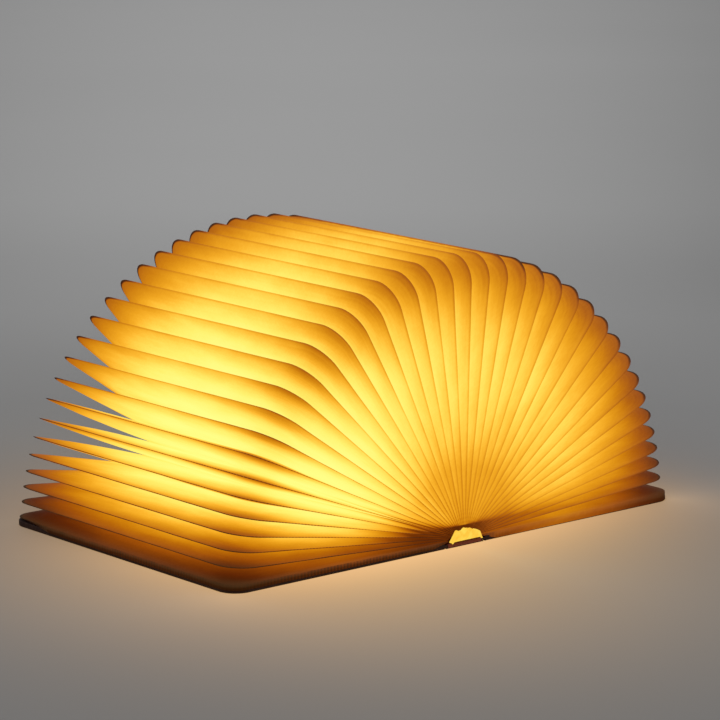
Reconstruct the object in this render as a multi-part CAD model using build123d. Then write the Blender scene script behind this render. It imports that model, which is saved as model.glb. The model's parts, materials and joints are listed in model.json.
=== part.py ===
from build123d import *
import math
import os

# Folding book lamp, opened flat on a table. X runs across the covers, Y along the spine, Z up.
# The origin is on the table, under the middle of the spine. All sizes are in millimetres.

# ---- Pleated shade: one C-shaped pleat ("page") per node ----
PAGE_COUNT = 39
PAGE_HEIGHT = 208.0  # along the spine
PAGE_DEPTH = 161.5  # from the spine to the ridge at the fore-edge
PLEAT_DEPTH = 50.0  # from a ridge fold in to the valley fold
SHEET = 0.15  # one leaf of the non-woven sheet
RIDGE_CORNER = 14.0
VALLEY_CORNER = 8.0
CORNER_STEPS = 4
VALLEY_GAP = 0.24  # between the valley edges of two neighbouring pages
FOLD_DEPTH = 0.8  # the creased ridge, where both leaves are pressed together
INNER_SLIT = 0.04  # left between the two leaves where the pleat is closed
PAGE_FOOT = 0.3  # the page starts this far off its own hinge line
FAN_EDGE_ANGLE = 0.3  # between the last page and the table
FAN_WAVES = (3.5, -6.4, -0.8, -1.9)  # degrees: how the fan departs from even spacing

# ---- Spine ----
STACK_HALF_WIDTH = 12.0  # half the closed stack of pages
ROOT_ARCH = (12.2, 5.6)  # half width and height of the arch that the hinge lines lie on
ARCH_CLEARANCE = 0.3
ARCH_WALL = 0.6
ARCH_FOLDS = 36  # straight strips that the arch is creased into
SPINE_BOARD = 2.0
CLOTH = 0.4
HOOD_RISE = 7.2
HOOD_WALL = 0.5
HOOD_GAP = 0.3
HOOD_LENGTH = 1.7
HOOD_RUFFLES = 9
RUFFLE_HEIGHT = 0.5

# ---- Covers ----
HINGE_X = 14.6
HINGE_Z = 1.5
BEAD_RADIUS = 0.9
CRADLE_CLEARANCE = 0.2
CRADLE_LIP = 0.4
HINGE_STRIP = 0.8
HINGE_REACH = 1.8  # from the bead's axis to the cover board
BOARD = 2.4
TURN_IN = 0.3  # the cloth where it is folded over the board
TURN_IN_WIDTH = 9.0
ENDPAPER = 0.2
ENDPAPER_MARGIN = 0.3
COVER_OVERHANG = 0.5
COVER_CORNER = 12.0
CLOTH_EDGE_ROUND = 0.35

# ---- Light bar ----
HOUSING_END_GAP = 4.0  # to the legs of the pages, at each end
HOUSING_WIDTH = 20.0
HOUSING_HEIGHT = 9.0
HOUSING_WALL = 1.2
HOUSING_FLOOR = 0.8
RIB = 0.8
RIB_HEIGHT = 6.0  # underside of the LED board above the housing floor
GROOVE = 0.5
GROOVE_COUNT = 3
LED_BOARD = (17.2, 1.0)  # width and thickness
LED_BOARD_END_GAP = 2.0  # to the end of the housing
LED_CHIP = (3.5, 2.8, 0.7)
LED_ROWS = 2
LEDS_PER_ROW = 12
LED_END_MARGIN = 4.45  # from the last LED to the end of its board
LED_ROW_SPACING = 7.0
DIFFUSER_WALL = 1.2
DIFFUSER_RISE = 5.0
DIFFUSER_GAP = 0.15
DIFFUSER_END_GAP = 1.0  # to the end of the housing

# ---- Battery, control board and charging socket ----
BATTERY = (15.6, 58.0, 5.0)
BATTERY_ROUND = 2.0
BATTERY_END_GAP = 1.5
BOARD_WIDTH = 12.0
PCB = 0.8
PCB_START_GAP = 4.5  # to the battery
SOCKET = (7.5, 5.6, 2.6)
SOCKET_WALL = 0.3
SOCKET_TONGUE = (4.4, 4.2, 0.7)
PCB_FOOT = 4.0
REED = (2.2, 14.0)  # glass reed switch: diameter and length

# ---- Magnets in the covers ----
MAGNET_DIAMETER = 8.0
MAGNET_THICKNESS = 1.2
MAGNET_INSET = 14.0
MAGNET_FIT = 0.1

# ---- Worked out from the sizes above ----
SPINE_TOP = CLOTH + SPINE_BOARD
BOARD_TOP = CLOTH + BOARD
COVER_TOP = BOARD_TOP + TURN_IN
COVER_START = HINGE_X + HINGE_REACH
BOOK_LENGTH = PAGE_HEIGHT + 2 * COVER_OVERHANG  # of the covers and the spine, from tail to head
CRADLE_START = HINGE_X - BEAD_RADIUS - CRADLE_CLEARANCE - CRADLE_LIP
HOUSING_FLOOR_TOP = SPINE_TOP + HOUSING_FLOOR
LED_BOARD_Z = HOUSING_FLOOR_TOP + RIB_HEIGHT
LED_BOARD_TOP = LED_BOARD_Z + LED_BOARD[1]
LEG_END = PAGE_HEIGHT / 2 - PLEAT_DEPTH  # inner end of the legs of each page, from the middle
HOUSING_LENGTH = 2 * (LEG_END - HOUSING_END_GAP)
LED_BOARD_LENGTH = HOUSING_LENGTH - 2 * LED_BOARD_END_GAP
LED_PITCH = (LED_BOARD_LENGTH - 2 * LED_END_MARGIN - LED_CHIP[0]) / (LEDS_PER_ROW - 1)
BATTERY_START = BATTERY_END_GAP - HOUSING_LENGTH / 2
PCB_START = BATTERY_START + BATTERY[1] + PCB_START_GAP


def save(shape, node):
    """Writes one sub-part to its own file."""
    solids = shape.solids()
    export_step(solids[0] if len(solids) == 1 else Compound(children=solids), f"parts/{node}.step")


def along_spine(sketch, start, end):
    """Extrudes a cross-section, drawn across the spine with Z up, from one Y to another."""
    return extrude(Plane.XZ.offset(-start) * sketch, start - end)


def block(x0, x1, y0, y1, z0, z1):
    """A box between two corners."""
    return Pos((x0 + x1) / 2, (y0 + y1) / 2, (z0 + z1) / 2) * Box(x1 - x0, y1 - y0, z1 - z0)


def rectangle_between(x0, x1, y0, y1):
    """A rectangle between two corners, in a sketch."""
    return Pos((x0 + x1) / 2, (y0 + y1) / 2) * Rectangle(x1 - x0, y1 - y0)


# ---------------------------------------------------------------- pages
def fan_angle(number):
    """Angle of a page's mid-plane from +X, in degrees. Page 1 lies next to the front cover."""
    share = (PAGE_COUNT - number) / (PAGE_COUNT - 1)
    waves = sum(a * math.sin((i + 1) * math.pi * share) for i, a in enumerate(FAN_WAVES))
    return FAN_EDGE_ANGLE + (180 - 2 * FAN_EDGE_ANGLE) * share + waves


def fan_root(number):
    """Hinge line of a page, as (X, Z), on the arch of the spine."""
    x = STACK_HALF_WIDTH * ((2 * number - 1) / PAGE_COUNT - 1)
    return x, SPINE_TOP + ROOT_ARCH[1] * math.sqrt(1 - (x / ROOT_ARCH[0]) ** 2)


def page_point(number, along, y, off):
    """A point at a distance along the page's mid-plane, at a Y, and off that plane towards the front cover."""
    x, z = fan_root(number)
    angle = math.radians(fan_angle(number))
    return (
        x + along * math.cos(angle) - off * math.sin(angle),
        y,
        z + along * math.sin(angle) + off * math.cos(angle),
    )


def distance_to_page(number, other, along):
    """How far off the page's mid-plane its neighbour's mid-plane lies."""
    x, _, z = page_point(number, along, 0, 0)
    ox, oz = fan_root(other)
    angle, other_angle = math.radians(fan_angle(number)), math.radians(fan_angle(other))
    cross = (x - ox) * math.sin(other_angle) - (z - oz) * math.cos(other_angle)
    return abs(cross / math.cos(angle - other_angle))


def distance_to_cover(number, along):
    """How far off the page's mid-plane the inside of the open cover lies."""
    _, _, z = page_point(number, along, 0, 0)
    return (z - COVER_TOP) / abs(math.cos(math.radians(fan_angle(number))))


def spread(number, side, along):
    """Half-width of the open pleat towards one side: +1 is the front cover, -1 the back cover."""
    other = number - side
    if 1 <= other <= PAGE_COUNT:
        return (distance_to_page(number, other, along) - VALLEY_GAP) / 2
    inner = (distance_to_page(number, number + side, along) - VALLEY_GAP) / 2
    return min(inner, distance_to_cover(number, along) - VALLEY_GAP)


def contour(inset, radius):
    """Points of a C-shaped fold line as (along, y), from the tail leg round the fore-edge to the head leg."""
    far, half = PAGE_DEPTH - inset, PAGE_HEIGHT / 2 - inset
    middle = (PAGE_FOOT + far - radius) / 2
    points = [(PAGE_FOOT, -half), (middle, -half)]
    for side in (-1, 1):
        for step in range(CORNER_STEPS + 1):
            turn = math.radians(90 * step / CORNER_STEPS)
            across, up = (math.sin(turn), math.cos(turn)) if side < 0 else (math.cos(turn), math.sin(turn))
            points.append((far - radius * (1 - across), side * (half - radius * (1 - up))))
    return points + [(middle, half), (PAGE_FOOT, half)]


def facet_solid(sections, valley_corners):
    """A closed solid through sections of as many corners, with flat three-cornered facets between them.

    The facets are split from the ridge to the next section's valley, so that both faces of a leaf are split alike.
    """
    facets = [sections[0], sections[-1]]
    for here, there in zip(sections, sections[1:]):
        for a in range(len(here)):
            b = (a + 1) % len(here)
            if a in valley_corners and b not in valley_corners:
                facets += [[here[a], here[b], there[a]], [here[b], there[b], there[a]]]
            else:
                facets += [[here[a], here[b], there[b]], [here[a], there[b], there[a]]]
    return Solid(Shell([Face(Wire.make_polygon(corners, close=True)) for corners in facets]))


def page(number):
    """A V-folded pleat: two thin leaves that part from the ridge to their valley edges, all round the C."""
    sections = []
    for ridge, valley in zip(contour(0, RIDGE_CORNER), contour(PLEAT_DEPTH, VALLEY_CORNER)):
        run = math.dist(ridge, valley)
        crease = [r + (v - r) * FOLD_DEPTH / run for r, v in zip(ridge, valley)]
        front, back = spread(number, 1, valley[0]), spread(number, -1, valley[0])
        sections.append([
            page_point(number, *ridge, SHEET),
            page_point(number, *valley, front),
            page_point(number, *valley, max(front - SHEET, INNER_SLIT / 2)),
            page_point(number, *crease, 0),
            page_point(number, *valley, -max(back - SHEET, INNER_SLIT / 2)),
            page_point(number, *valley, -back),
            page_point(number, *ridge, -SHEET),
        ])
    return facet_solid(sections, valley_corners=(1, 2, 4, 5))


# ---------------------------------------------------------------- spine
def half_ring(outer, wall, waves=0, wave_height=0):
    """The upper half of an elliptical ring in straight folds, standing on the spine board; waves ruffle its outside."""
    outside, inside = [], []
    for step in range(ARCH_FOLDS + 1):
        turn = math.pi * step / ARCH_FOLDS
        swell = wave_height * abs(math.sin(waves * turn))
        outside.append(((outer[0] + swell) * math.cos(turn), SPINE_TOP + (outer[1] + swell) * math.sin(turn)))
        inside.append(((outer[0] - wall) * math.cos(turn), SPINE_TOP + (outer[1] - wall) * math.sin(turn)))
    return make_face(Polyline(*outside, *reversed(inside), close=True))


def spine_cloth():
    """Covering of the spine, with a lip curled round the bead of each cover's hinge."""
    half = BOOK_LENGTH / 2
    profile = rectangle_between(-HINGE_X, HINGE_X, 0, CLOTH)
    for side in (-1, 1):
        lip = rectangle_between(side * CRADLE_START, side * HINGE_X, CLOTH, HINGE_Z)
        profile += lip - Pos(side * HINGE_X, HINGE_Z) * Circle(BEAD_RADIUS + CRADLE_CLEARANCE)
    return along_spine(profile, -half, half)


def spine_board():
    """Stiff board in the spine, which everything inside stands on."""
    half = BOOK_LENGTH / 2
    return block(-CRADLE_START, CRADLE_START, -half, half, CLOTH, SPINE_TOP)


def spine_arch():
    """Arched liner that the pages are glued to, open in the middle for the light bar."""
    outer = [size - ARCH_CLEARANCE for size in ROOT_ARCH]
    half = PAGE_HEIGHT / 2
    arch = along_spine(half_ring(outer, ARCH_WALL), -half, half)
    window = HOUSING_WIDTH / 2 + HOOD_GAP
    return arch - block(-window, window, -LEG_END, LEG_END, SPINE_TOP, SPINE_TOP + ROOT_ARCH[1])


def spine_hoods():
    """Arched end caps of sheet at the head and the tail, with a ruffled outside."""
    profile = half_ring((STACK_HALF_WIDTH, HOOD_RISE), HOOD_WALL, HOOD_RUFFLES, RUFFLE_HEIGHT)
    start = PAGE_HEIGHT / 2 + HOOD_GAP
    hood = along_spine(profile, start, start + HOOD_LENGTH)
    return Compound(children=[hood.solid(), mirror(hood, Plane.XZ).solid()])


# ---------------------------------------------------------------- back cover, mirrored for the front
def cover_outline(inset, start):
    """Plan of the cover, with its two outer corners rounded."""
    end = cover_end() - inset
    half = BOOK_LENGTH / 2 - inset
    plan = rectangle_between(start, end, -half, half)
    outer = [v for v in plan.vertices() if v.X > (start + end) / 2]
    return fillet(outer, COVER_CORNER - inset)


def cover_end():
    """X of the cover's fore-edge."""
    return fan_root(PAGE_COUNT)[0] + PAGE_DEPTH + COVER_OVERHANG


def magnet_places():
    """Centres of the two closing magnets of a cover."""
    x = cover_end() - MAGNET_INSET
    y = BOOK_LENGTH / 2 - MAGNET_INSET
    return [(x, -y), (x, y)]


def cover_board():
    """Grey board, with a blind pocket for each magnet."""
    board = extrude(Plane.XY.offset(CLOTH) * cover_outline(CLOTH, COVER_START), BOARD)
    for x, y in magnet_places():
        pocket = Cylinder(MAGNET_DIAMETER / 2 + MAGNET_FIT, MAGNET_THICKNESS + MAGNET_FIT)
        board -= Pos(x, y, BOARD_TOP - (MAGNET_THICKNESS + MAGNET_FIT) / 2) * pocket
    return board


def cover_cloth():
    """Covering glued round the board and turned in over its three free edges."""
    skin = extrude(cover_outline(0, COVER_START), COVER_TOP)
    rims = [e for e in skin.edges() if e.center().X > COVER_START + 1 and abs(e.tangent_at(0).Z) < 0.5]
    skin = fillet(rims, CLOTH_EDGE_ROUND)
    skin -= extrude(Plane.XY.offset(CLOTH) * cover_outline(CLOTH, COVER_START - 1), BOARD)
    half = BOOK_LENGTH / 2 - TURN_IN_WIDTH
    return skin - block(
        COVER_START - 1, cover_end() - TURN_IN_WIDTH, -half, half, BOARD_TOP - 1, COVER_TOP + 1
    )


def endpaper():
    """Sheet pasted on the inside of the board, between the turned-in edges."""
    half = BOOK_LENGTH / 2 - TURN_IN_WIDTH - ENDPAPER_MARGIN
    end = cover_end() - TURN_IN_WIDTH - ENDPAPER_MARGIN
    return block(COVER_START, end, -half, half, BOARD_TOP, BOARD_TOP + ENDPAPER)


def hinge_cloth():
    """Rolled bead in the joint groove, its flexible strip, and the cloth on the board's spine edge."""
    half = BOOK_LENGTH / 2
    strip = HINGE_STRIP / 2
    profile = Pos(HINGE_X, HINGE_Z) * Circle(BEAD_RADIUS)
    profile += rectangle_between(HINGE_X, COVER_START, HINGE_Z - strip, HINGE_Z + strip)
    profile += rectangle_between(COVER_START - CLOTH, COVER_START, 0, COVER_TOP)
    return along_spine(profile, -half, half)


def cover_magnets():
    """Two disc magnets near the outer corners."""
    disc = Cylinder(MAGNET_DIAMETER / 2, MAGNET_THICKNESS)
    z = BOARD_TOP - MAGNET_THICKNESS / 2
    return Compound(children=[Pos(x, y, z) * disc for x, y in magnet_places()])


# ---------------------------------------------------------------- light bar
def light_housing():
    """Extruded aluminium channel with a ledge for the LED board and grooved sides."""
    half_width = HOUSING_WIDTH / 2
    top = SPINE_TOP + HOUSING_HEIGHT
    profile = rectangle_between(-half_width, half_width, SPINE_TOP, top)
    bore = half_width - HOUSING_WALL
    profile -= rectangle_between(-bore, bore, HOUSING_FLOOR_TOP, top)
    for side in (-1, 1):
        inner, outer = sorted((side * (bore - RIB), side * bore))
        profile += rectangle_between(inner, outer, LED_BOARD_Z - RIB, LED_BOARD_Z)
        for groove in range(GROOVE_COUNT):
            z = SPINE_TOP + HOUSING_HEIGHT * (groove + 1) / (GROOVE_COUNT + 1)
            profile -= Pos(side * half_width, z) * Circle(GROOVE)
    return along_spine(profile, -HOUSING_LENGTH / 2, HOUSING_LENGTH / 2)


def led_board():
    """Aluminium-backed circuit board on the housing's ledges."""
    across, along = LED_BOARD[0] / 2, LED_BOARD_LENGTH / 2
    return block(-across, across, -along, along, LED_BOARD_Z, LED_BOARD_TOP)


def leds():
    """Two rows of LED packages."""
    along, across, height = LED_CHIP
    chips = []
    for row in range(LED_ROWS):
        x = (row - (LED_ROWS - 1) / 2) * LED_ROW_SPACING
        for place in range(LEDS_PER_ROW):
            y = (place - (LEDS_PER_ROW - 1) / 2) * LED_PITCH
            chips.append(Pos(x, y, LED_BOARD_TOP + height / 2) * Box(across, along, height))
    return Compound(children=chips)


def diffuser():
    """Opal half-round cover that stands on the LED board between the housing's walls."""
    half_width = HOUSING_WIDTH / 2 - HOUSING_WALL - DIFFUSER_GAP
    spring = SPINE_TOP + HOUSING_HEIGHT
    rise = DIFFUSER_RISE
    outline = rectangle_between(-half_width, half_width, LED_BOARD_TOP, spring)
    outline += Pos(0, spring) * Ellipse(half_width, rise) & rectangle_between(
        -half_width, half_width, LED_BOARD_TOP, spring + rise
    )
    hollow = rectangle_between(
        -half_width + DIFFUSER_WALL, half_width - DIFFUSER_WALL, LED_BOARD_TOP, spring
    )
    hollow += Pos(0, spring) * Ellipse(half_width - DIFFUSER_WALL, rise - DIFFUSER_WALL) & rectangle_between(
        -half_width, half_width, LED_BOARD_TOP, spring + rise
    )
    half = HOUSING_LENGTH / 2 - DIFFUSER_END_GAP
    return along_spine(outline, -half, half) - along_spine(hollow, DIFFUSER_WALL - half, half - DIFFUSER_WALL)


# ---------------------------------------------------------------- electronics
def battery_cell():
    """Flat lithium pouch cell on the housing floor, towards the tail."""
    width, length, thickness = BATTERY
    end = BATTERY_START + length
    cell = block(-width / 2, width / 2, BATTERY_START, end, HOUSING_FLOOR_TOP, HOUSING_FLOOR_TOP + thickness)
    return fillet(cell.edges().filter_by(Axis.Y), BATTERY_ROUND)


def pcb_end():
    """Y of the head end of the control board, just inside the hood."""
    return PAGE_HEIGHT / 2 - HOOD_GAP


def control_board():
    """Long narrow circuit board from the housing to the head, with its parts and two feet."""
    half, top = BOARD_WIDTH / 2, HOUSING_FLOOR_TOP + PCB
    board = block(-half, half, PCB_START, pcb_end(), HOUSING_FLOOR_TOP, top)
    for y in (HOUSING_LENGTH / 2 + 2 * PCB_FOOT, pcb_end() - PCB_FOOT):
        board += block(-half, half, y - PCB_FOOT / 2, y + PCB_FOOT / 2, SPINE_TOP, HOUSING_FLOOR_TOP)
    chip = PCB_FOOT
    board += block(-chip / 2, chip / 2, PCB_START + chip, PCB_START + 2 * chip, top, top + PCB)
    board += block(-chip, chip, LEG_END + 3 * chip, LEG_END + 5 * chip, top, top + PCB)
    reed = Rot(90, 0, 0) * Cylinder(REED[0] / 2, REED[1])
    return board + Pos(0, PCB_START + 4 * chip + REED[1] / 2, top + REED[0] / 2 - SOCKET_WALL) * reed


def charging_socket():
    """Micro charging socket on the head end of the control board, open towards the head."""
    width, depth, height = SOCKET
    z = HOUSING_FLOOR_TOP + PCB
    end = pcb_end()
    shell = block(-width / 2, width / 2, end - depth, end, z, z + height)
    shell = fillet(shell.edges().filter_by(Axis.Y), SOCKET_WALL * 2)
    shell -= block(
        SOCKET_WALL - width / 2, width / 2 - SOCKET_WALL,
        end - depth + SOCKET_WALL, end + 1,
        z + SOCKET_WALL, z + height - SOCKET_WALL,
    )
    across, reach, thick = SOCKET_TONGUE
    middle = z + height / 2
    return shell + block(
        -across / 2, across / 2, end - depth, end - depth + reach, middle - thick / 2, middle + thick / 2
    )


# ---------------------------------------------------------------- write every node
os.makedirs("parts", exist_ok=True)

for number in range(1, PAGE_COUNT + 1):
    save(page(number), f"page_{number:02d}")

for make in (
    spine_cloth, spine_board, spine_arch, spine_hoods, light_housing, led_board, leds,
    diffuser, battery_cell, control_board, charging_socket,
):
    save(make(), make.__name__)

for make in (cover_board, cover_cloth, endpaper, hinge_cloth, cover_magnets):
    piece = make()
    save(piece, f"back_{make.__name__}")
    save(mirror(piece, Plane.YZ), f"front_{make.__name__}")
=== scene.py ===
"""Dresses the folding book lamp: lit pleats, book cloth covers, spine, light bar, and the stage it stands on."""

import json
import math

import bmesh
import bpy
from bpy.props import FloatProperty, FloatVectorProperty, IntProperty, PointerProperty
from mathutils import Matrix, Vector, noise

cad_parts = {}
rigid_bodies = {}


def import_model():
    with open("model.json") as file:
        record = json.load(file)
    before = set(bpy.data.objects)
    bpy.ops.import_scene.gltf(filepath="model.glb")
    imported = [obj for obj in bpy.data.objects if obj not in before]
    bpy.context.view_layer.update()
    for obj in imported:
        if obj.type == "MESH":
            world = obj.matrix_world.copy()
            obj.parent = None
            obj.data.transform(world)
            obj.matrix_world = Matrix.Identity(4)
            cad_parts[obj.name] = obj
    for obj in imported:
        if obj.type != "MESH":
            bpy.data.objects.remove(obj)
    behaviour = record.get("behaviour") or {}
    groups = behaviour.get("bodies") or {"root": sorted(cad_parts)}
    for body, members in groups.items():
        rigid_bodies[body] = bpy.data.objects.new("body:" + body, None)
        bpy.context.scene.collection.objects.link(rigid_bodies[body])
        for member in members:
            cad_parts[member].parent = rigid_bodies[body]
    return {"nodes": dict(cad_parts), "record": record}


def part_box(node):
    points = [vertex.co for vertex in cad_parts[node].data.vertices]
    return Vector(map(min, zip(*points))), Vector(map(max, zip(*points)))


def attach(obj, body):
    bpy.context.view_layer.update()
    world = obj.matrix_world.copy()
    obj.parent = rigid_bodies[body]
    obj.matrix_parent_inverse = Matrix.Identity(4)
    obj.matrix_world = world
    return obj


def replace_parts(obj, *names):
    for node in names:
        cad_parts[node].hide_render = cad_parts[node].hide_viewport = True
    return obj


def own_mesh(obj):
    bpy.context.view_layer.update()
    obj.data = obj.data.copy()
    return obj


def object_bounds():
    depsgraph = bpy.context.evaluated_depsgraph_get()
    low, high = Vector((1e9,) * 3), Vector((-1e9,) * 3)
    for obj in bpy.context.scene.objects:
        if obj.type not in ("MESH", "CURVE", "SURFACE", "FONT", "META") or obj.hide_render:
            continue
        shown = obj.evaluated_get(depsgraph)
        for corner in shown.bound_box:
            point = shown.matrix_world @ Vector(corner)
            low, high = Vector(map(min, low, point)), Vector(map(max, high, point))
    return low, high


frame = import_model()
CAD_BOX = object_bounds()

bl_info = {
    "name": "Folding book lamp",
    "version": (1, 0, 0),
    "blender": (4, 5, 0),
    "location": "View3D > Sidebar > Book Lamp",
    "description": "Builds the visual pieces and finishes of a folding book lamp",
    "category": "Object",
}

# Sides of the lamp, as the record names them.
FRONT, BACK = "front", "back"
BEHAVIOUR = frame["record"]["behaviour"]
JOINTS = {joint["name"]: joint for joint in BEHAVIOUR["joints"]}
COUPLINGS = {link["joint"]: link for link in BEHAVIOUR["couplings"]}
PAGE_NODES = sorted(name for name in frame["nodes"] if name.startswith("page_"))

# Reference photograph: its square frame in pixels, and the view fitted to the tips of the pleats.
PHOTO_SIZE = 720
PHOTO_FOCAL = 3406.4
SENSOR = 36.0
CAMERA_PLACE = (-1.30791, -1.50917, 0.50244)
CAMERA_YAW, CAMERA_PITCH, CAMERA_ROLL = 0.71756, 0.20211, 0.00716


# ---------------------------------------------------------------- what a user would change
class PleatSizes(bpy.types.PropertyGroup):
    """Sizes of the pleated shade."""

    pleat_depth: FloatProperty(
        name="Pleat Depth", description="From a ridge fold in to the valley fold", default=0.050, unit="LENGTH"
    )
    tail_corner: FloatProperty(
        name="Tail Corner", description="Radius of the ridge's corner at the tail", default=0.016, unit="LENGTH"
    )
    head_corner: FloatProperty(
        name="Head Corner", description="Radius of the ridge's corner at the head", default=0.013, unit="LENGTH"
    )
    valley_corner: FloatProperty(
        name="Valley Corner", description="Radius of the valley's corners", default=0.008, unit="LENGTH"
    )
    sheet: FloatProperty(
        name="Sheet", description="Thickness of the non-woven sheet", default=0.00014, unit="LENGTH"
    )
    bulge: FloatProperty(
        name="Bulge", description="How far a leaf bows out, as a share of its spread", default=0.16, min=0, max=1
    )
    ripple: FloatProperty(
        name="Ripple", description="Height of the sheet's unevenness", default=0.00035, unit="LENGTH"
    )
    press: FloatProperty(
        name="Pressed Ridge", description="Width of the pressed strip beside a ridge", default=0.001, unit="LENGTH"
    )
    cover_corner: FloatProperty(
        name="Outer Corner", description="Corner radius of the outermost pages", default=0.0115, unit="LENGTH"
    )
    skirt_out: FloatProperty(
        name="Skirt Overhang", description="Outermost ridges past the other ridges", default=0.0009, unit="LENGTH"
    )
    front_skirt_foot: FloatProperty(
        name="Front Skirt Foot", description="Height of the first ridge's rim", default=0.0017, unit="LENGTH"
    )
    back_skirt_foot: FloatProperty(
        name="Back Skirt Foot", description="Height of the last ridge's rim", default=0.0006, unit="LENGTH"
    )
    valley_gap: FloatProperty(
        name="Valley Gap", description="Between the valley folds of neighbouring pages", default=0.00006, unit="LENGTH"
    )


class PleatSteps(bpy.types.PropertyGroup):
    """How finely the pleats are divided."""

    leg: IntProperty(name="Leg Steps", description="Along each leg of a page", default=12, min=2)
    corner: IntProperty(name="Corner Steps", description="Round each corner", default=9, min=2)
    edge: IntProperty(name="Fore-edge Steps", description="Along the fore-edge", default=14, min=2)
    depth: IntProperty(name="Depth Steps", description="From the ridge to the valley", default=10, min=2)


class LampColours(bpy.types.PropertyGroup):
    """Colours of the lamp's finishes."""

    sheet: FloatVectorProperty(
        name="Sheet", description="The sheet by itself", subtype="COLOR", default=(0.045, 0.024, 0.007)
    )
    cover_cloth: FloatVectorProperty(
        name="Cover Cloth", description="Dark book cloth", subtype="COLOR", default=(0.016, 0.006, 0.004)
    )
    lining: FloatVectorProperty(
        name="Lining", description="Red-brown paper of the endpapers and the spine", subtype="COLOR",
        default=(0.13, 0.020, 0.007),
    )
    floor_glow: FloatVectorProperty(
        name="Floor Glow", description="The lamp's light on the floor", subtype="COLOR", default=(1.0, 0.56, 0.19)
    )
    surroundings: FloatProperty(name="Surroundings", description="Even light from all round", default=0.45, min=0)


# ---------------------------------------------------------------- places read from the frame
class Page:
    """One pleat: its hinge line on the spine and the direction of its middle plane, at rest."""

    def __init__(self, node):
        joint = JOINTS[f"{node}_hinge"]
        link = COUPLINGS[f"{node}_hinge"]
        self.node = node
        self.number = int(node.split("_")[1])
        self.body = joint["child"]
        self.side = FRONT if link["follows"].startswith(FRONT) else BACK
        self.root = Vector((joint["pos_m"][0], joint["pos_m"][2]))
        lean = math.radians(90) * link["ratio"]
        self.angle = math.radians(90) + (lean if self.side == FRONT else -lean)
        self.along = Vector((math.cos(self.angle), math.sin(self.angle)))
        self.off = Vector((-math.sin(self.angle), math.cos(self.angle)))

    def point(self, along, y, off):
        """A point at a distance along the page, at a Y, and off its middle plane towards the front cover."""
        place = self.root + self.along * along + self.off * off
        return Vector((place.x, y, place.y))

    def distance_to(self, other, along):
        """How far off this page's middle plane the other page's lies."""
        gap = self.root + self.along * along - other.root
        return abs(gap.cross(other.along) / self.along.dot(other.along))


PAGES = [Page(node) for node in PAGE_NODES]
PAGE_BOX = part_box(PAGE_NODES[0])
PAGE_HALF = (PAGE_BOX[1][1] - PAGE_BOX[0][1]) / 2
PAGE_DEPTH = PAGE_BOX[1][0] - PAGE_BOX[0][0] + 0.0003
PAGE_FOOT = 0.0003
COVER_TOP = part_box("back_cover_cloth")[1][2]


def spread(index, towards_front, along, gap):
    """Half-width of the open pleat towards one side, out to halfway to its neighbour or down to the cover."""
    page = PAGES[index]
    other = index - 1 if towards_front else index + 1
    inner = index + 1 if towards_front else index - 1
    if 0 <= other < len(PAGES):
        return (page.distance_to(PAGES[other], along) - gap) / 2
    height = (page.root + page.along * along).y - COVER_TOP
    return min((page.distance_to(PAGES[inner], along) - gap) / 2, height - 4 * gap)


# ---------------------------------------------------------------- shader helpers
def new_group(name, inputs, outputs):
    """An empty shader node group with named sockets; returns it with its input and output nodes."""
    group = bpy.data.node_groups.new(name, "ShaderNodeTree")
    for label, kind, default in inputs:
        socket = group.interface.new_socket(name=label, in_out="INPUT", socket_type=kind)
        socket.default_value = default
    for label, kind in outputs:
        group.interface.new_socket(name=label, in_out="OUTPUT", socket_type=kind)
    return group, group.nodes.new("NodeGroupInput"), group.nodes.new("NodeGroupOutput")


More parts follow.
